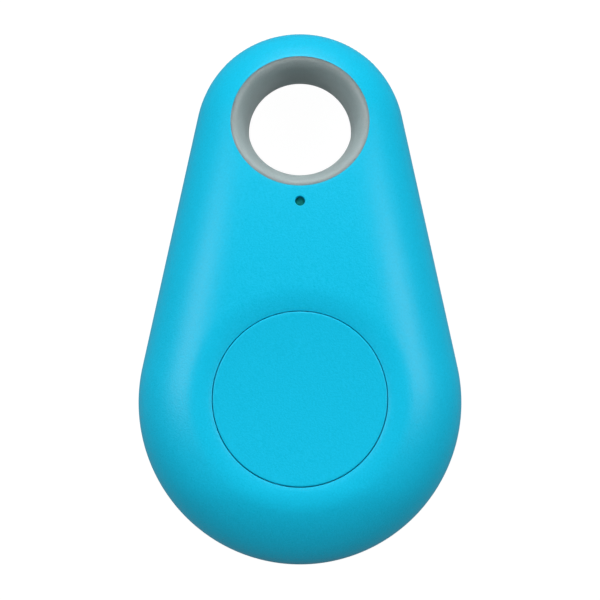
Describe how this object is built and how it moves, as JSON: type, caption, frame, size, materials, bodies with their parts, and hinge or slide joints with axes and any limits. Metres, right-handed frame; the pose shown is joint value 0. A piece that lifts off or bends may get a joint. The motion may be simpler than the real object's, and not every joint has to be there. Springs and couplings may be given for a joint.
{
  "type": "bluetooth tracker tag",
  "caption": "Drop-shaped key finder tag: two-part case with a concave round push button, a flared key ring eyelet, a small sound hole and a coin cell circuit inside.",
  "frame": {"origin": "centre of the case's footprint, on the flat back it lies on", "axes": "+X across the width, +Y towards the key ring eyelet, +Z out of the face with the button"},
  "size_m": [0.0314, 0.052, 0.011],
  "materials": {
    "blue_case": "satin, fine moulded grain",
    "blue_button": "satin, fine moulded grain",
    "grey_eyelet": "satin",
    "white_frame": "matte moulded",
    "green_board": "solder mask, satin",
    "zinc_screw": "zinc plated",
    "black_part": "matte moulded",
    "dark_part": "matte moulded",
    "tinned_metal": "tinned",
    "spring_steel": "bright spring steel",
    "brass_plate": "satin",
    "piezo_ceramic": "silvered, matte",
    "white_ceramic": "matte",
    "tan_ceramic": "matte",
    "led_resin": "clear tinted resin",
    "foam": "soft foam",
    "cell_steel": "brushed nickel plate",
    "cell_seal": "matte",
    "cell_mass": "pressed powder"
  },
  "bodies": {
    "rear_case": {"rear_cover": "blue_case", "battery_foam_pad": "foam"},
    "front_case": {"front_shell": "blue_case", "eyelet_sleeve": "grey_eyelet", "inner_frame": "white_frame", "circuit_board": "green_board", "frame_screws": "zinc_screw", "switch_base": "dark_part", "switch_terminals": "tinned_metal", "switch_dome": "spring_steel", "switch_cover": "spring_steel", "buzzer_housing": "dark_part", "buzzer_plate": "brass_plate", "buzzer_ceramic": "piezo_ceramic", "buzzer_lid": "black_part", "bluetooth_chip": "black_part", "main_crystal": "tinned_metal", "clock_crystal": "tinned_metal", "chip_antenna": "white_ceramic", "capacitors": "tan_ceramic", "resistors": "black_part", "status_led": "led_resin", "battery_positive_clip": "spring_steel", "battery_negative_leaf": "spring_steel"},
    "button": {"button_cap": "blue_button"},
    "plunger": {"switch_plunger": "black_part"},
    "coin_cell": {"coin_cell_can": "cell_steel", "coin_cell_gasket": "cell_seal", "coin_cell_cap": "cell_steel", "coin_cell_core": "cell_mass"}
  },
  "joints": [
    {"name": "case_opening", "type": "slide", "parent": "rear_case", "child": "front_case", "axis": [0, 0, 1], "range_m": [0, 0.025]},
    {"name": "button_press", "type": "slide", "parent": "front_case", "child": "button", "axis": [0, 0, -1], "range_m": [0, 0.00025], "stiffness_N_per_m": 1500, "springref_m": -0.0004},
    {"name": "plunger_press", "type": "slide", "parent": "front_case", "child": "plunger", "axis": [0, 0, -1], "range_m": [0, 0.00025], "deforming": ["switch_dome"]},
    {"name": "cell_removal", "type": "slide", "parent": "front_case", "child": "coin_cell", "axis": [0, 0, -1], "range_m": [0, 0.0125]}
  ],
  "couplings": [
    {"joint": "plunger_press", "follows": "button_press", "ratio": 1},
    {"joint": "cell_removal", "follows": "case_opening", "ratio": 0.5}
  ]
}
